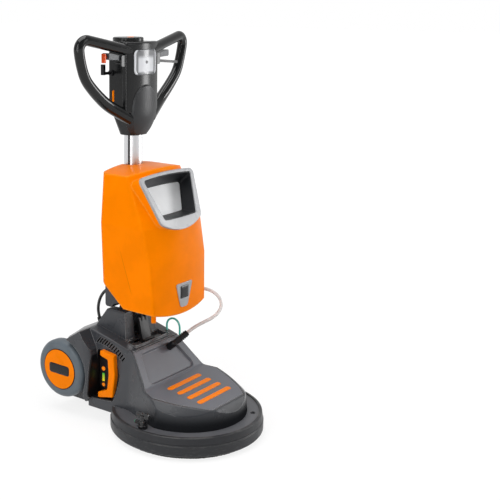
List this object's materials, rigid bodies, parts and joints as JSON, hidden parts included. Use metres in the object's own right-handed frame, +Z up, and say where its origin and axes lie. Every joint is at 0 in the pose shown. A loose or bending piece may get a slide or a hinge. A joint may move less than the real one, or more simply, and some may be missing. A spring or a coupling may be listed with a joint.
{
  "type": "floor buffer",
  "caption": "Walk-behind single-disc floor buffer: domed motor housing on a round pad with bumper, transport wheels, tilting mast, tank with hopper, twin-loop handle and switch levers.",
  "frame": {"origin": "floor under the centre of the pad", "axes": "+Z up, front towards -Y, width along X"},
  "size_m": [0.4634, 0.6539, 1.0925],
  "materials": {
    "housing": "satin charcoal moulding",
    "lid": "satin mid grey moulding",
    "accent_orange": "smooth orange moulding",
    "tank_orange": "smooth orange tank moulding",
    "bumper": "matt black rubber",
    "black_plastic": "matt black moulding",
    "handle_black": "glossy black moulding",
    "lever_grey": "light grey moulding",
    "liner_dark": "dark grey moulding",
    "panel_pale": "pale grey panel",
    "silver": "silver plated moulding",
    "lamp": "clear amber lens",
    "tyre_grey": "grey solid tyre",
    "steel": "bare steel",
    "mast_aluminium": "anodised tube",
    "casting": "black coated casting",
    "belt_rubber": "belt rubber",
    "driver_plate": "pad driver moulding",
    "pad_fibre": "dark fibre pad",
    "teal": "teal tube",
    "clear_hose": "milky clear tube",
    "cable_black": "black cable sheath"
  },
  "bodies": {
    "chassis": {"base_plate": "casting", "bumper_ring": "bumper", "body_shell": "housing", "deck_lid": "lid", "deck_bars": "accent_orange", "tower_shroud": "housing", "mast_yoke": "steel", "strap_plate": "black_plastic", "pocket_right": "black_plastic", "pocket_left": "black_plastic", "grab_right": "accent_orange", "grab_left": "accent_orange", "indicator_lenses": "lamp", "vent_screens": "black_plastic", "axle": "steel", "pivot_pin": "steel", "motor_housing": "casting", "motor_stator": "steel", "drive_belt": "belt_rubber", "shaft_bearings": "steel", "control_box": "black_plastic", "elbow_fitting": "black_plastic", "cable_gland": "black_plastic", "valve_base": "black_plastic", "teal_hose": "teal", "solution_hose": "clear_hose", "control_cable": "cable_black"},
    "pad_disc": {"drive_shaft": "steel", "driven_pulley": "casting", "pad_driver": "driver_plate", "pad": "pad_fibre"},
    "rotor": {"motor_rotor": "steel", "motor_pulley": "casting"},
    "right_wheel": {"wheel_right": "tyre_grey", "cap_right": "accent_orange"},
    "left_wheel": {"wheel_left": "tyre_grey", "cap_left": "accent_orange"},
    "valve_handle": {"valve_knob": "black_plastic"},
    "mast": {"foot_bracket": "steel", "mast_tube": "mast_aluminium", "tank_bracket": "liner_dark", "tank_shell": "tank_orange", "hopper_liner": "liner_dark", "hopper_back": "panel_pale", "bezel": "silver", "badge": "silver", "head_front": "handle_black", "head_rear": "handle_black", "neck_collar": "handle_black", "boss_cover": "black_plastic", "window_plate": "silver", "loop_right": "handle_black", "loop_left": "handle_black"},
    "clamp": {"clamp_lever": "steel"},
    "right_trigger": {"trigger_right": "lever_grey"},
    "left_trigger": {"trigger_left": "lever_grey"},
    "button": {"safety_button": "accent_orange"},
    "release": {"release_lever": "black_plastic"},
    "right_hook": {"hook_right": "black_plastic"},
    "left_hook": {"hook_left": "black_plastic"}
  },
  "joints": [
    {"name": "pad_spin", "type": "hinge", "parent": "chassis", "child": "pad_disc", "pos_m": [0, 0, 0.1], "axis": [0, 0, 1], "continuous": true},
    {"name": "motor_spin", "type": "hinge", "parent": "chassis", "child": "rotor", "pos_m": [0, 0.155, 0.15], "axis": [0, 0, 1], "continuous": true},
    {"name": "wheel_right_spin", "type": "hinge", "parent": "chassis", "child": "right_wheel", "pos_m": [-0.13, 0.351, 0.135], "axis": [1, 0, 0], "continuous": true},
    {"name": "wheel_left_spin", "type": "hinge", "parent": "chassis", "child": "left_wheel", "pos_m": [0.13, 0.351, 0.135], "axis": [1, 0, 0], "continuous": true},
    {"name": "mast_tilt", "type": "hinge", "parent": "chassis", "child": "mast", "pos_m": [0, 0.218, 0.268], "axis": [-1, 0, 0], "range_deg": [0, 45], "deforming": ["solution_hose", "control_cable"]},
    {"name": "clamp_turn", "type": "hinge", "parent": "mast", "child": "clamp", "pos_m": [0, 0.16, 0.342], "axis": [1, 0, 0], "range_deg": [-25, 25]},
    {"name": "trigger_right_pull", "type": "hinge", "parent": "mast", "child": "right_trigger", "pos_m": [-0.074, 0.185, 1.029], "axis": [0, 1, 0], "range_deg": [0, 5], "stiffness_Nm_per_rad": 1, "springref_deg": -5.73},
    {"name": "trigger_left_pull", "type": "hinge", "parent": "mast", "child": "left_trigger", "pos_m": [0.074, 0.185, 1.029], "axis": [0, -1, 0], "range_deg": [0, 5], "stiffness_Nm_per_rad": 1, "springref_deg": -5.73},
    {"name": "button_press", "type": "slide", "parent": "right_trigger", "child": "button", "axis": [1, 0, 0], "range_m": [0, 0.003], "stiffness_N_per_m": 300, "springref_m": -0.002},
    {"name": "release_pull", "type": "hinge", "parent": "mast", "child": "release", "pos_m": [0.073, 0.185, 1.016], "axis": [0, -1, 0], "range_deg": [0, 7], "stiffness_Nm_per_rad": 1, "springref_deg": -5.73},
    {"name": "hook_right_swivel", "type": "hinge", "parent": "mast", "child": "right_hook", "pos_m": [-0.07, 0.232, 0.987], "axis": [-1, 0, 0], "range_deg": [0, 180]},
    {"name": "hook_left_swivel", "type": "hinge", "parent": "mast", "child": "left_hook", "pos_m": [0.07, 0.232, 0.987], "axis": [-1, 0, 0], "range_deg": [0, 180]},
    {"name": "valve_turn", "type": "hinge", "parent": "chassis", "child": "valve_handle", "pos_m": [-0.187, 0.008, 0.09], "axis": [0, 0, -1], "range_deg": [0, 60]}
  ],
  "couplings": [
    {"joint": "motor_spin", "follows": "pad_spin", "ratio": 4}
  ]
}
